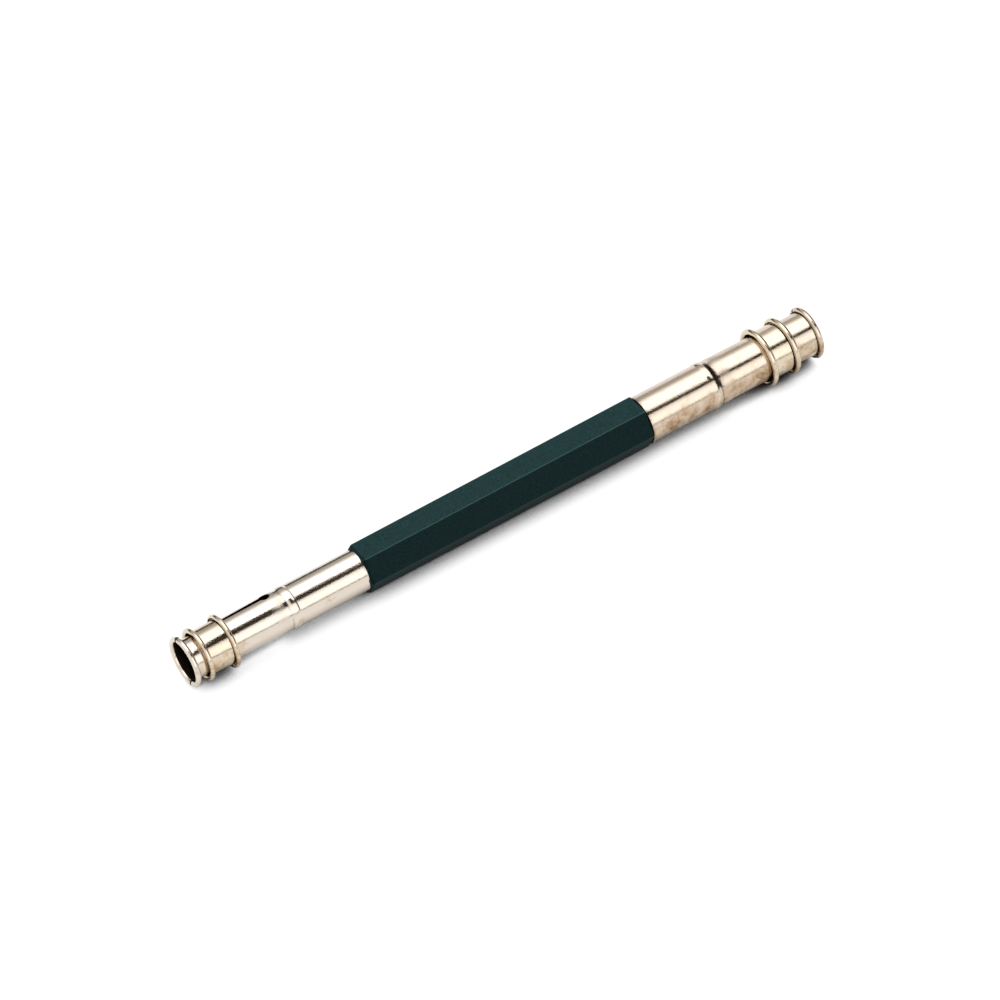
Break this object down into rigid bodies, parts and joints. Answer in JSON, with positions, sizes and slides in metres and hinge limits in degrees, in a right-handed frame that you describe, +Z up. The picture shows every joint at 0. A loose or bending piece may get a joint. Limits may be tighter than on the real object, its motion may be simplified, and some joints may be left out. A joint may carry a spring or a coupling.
{
  "type": "pencil extender",
  "caption": "Double-ended pencil extender: a hexagonal grip between split metal ferrules, each with a sliding rolled collar that clamps a pencil stub.",
  "frame": {"origin": "middle of the whole length, on the axis of the grip and both ferrules", "axes": "+X along the axis towards the large end, +Z up and square to a flat of the hexagonal grip"},
  "size_m": [0.1454, 0.0124, 0.0124],
  "materials": {
    "lacquered_wood": "satin dark green lacquer",
    "plated_brass": "worn nickel plate"
  },
  "bodies": {
    "extender": {"hexagonal_grip": "lacquered_wood", "small_ferrule": "plated_brass", "large_ferrule": "plated_brass"},
    "small_collar": {"small_collar": "plated_brass"},
    "large_collar": {"large_collar": "plated_brass"}
  },
  "joints": [
    {"name": "small_collar_slide", "type": "slide", "parent": "extender", "child": "small_collar", "axis": [-1, 0, 0], "range_m": [-0.0144, 0.00185]},
    {"name": "large_collar_slide", "type": "slide", "parent": "extender", "child": "large_collar", "axis": [1, 0, 0], "range_m": [-0.0126, 0.0048]}
  ]
}
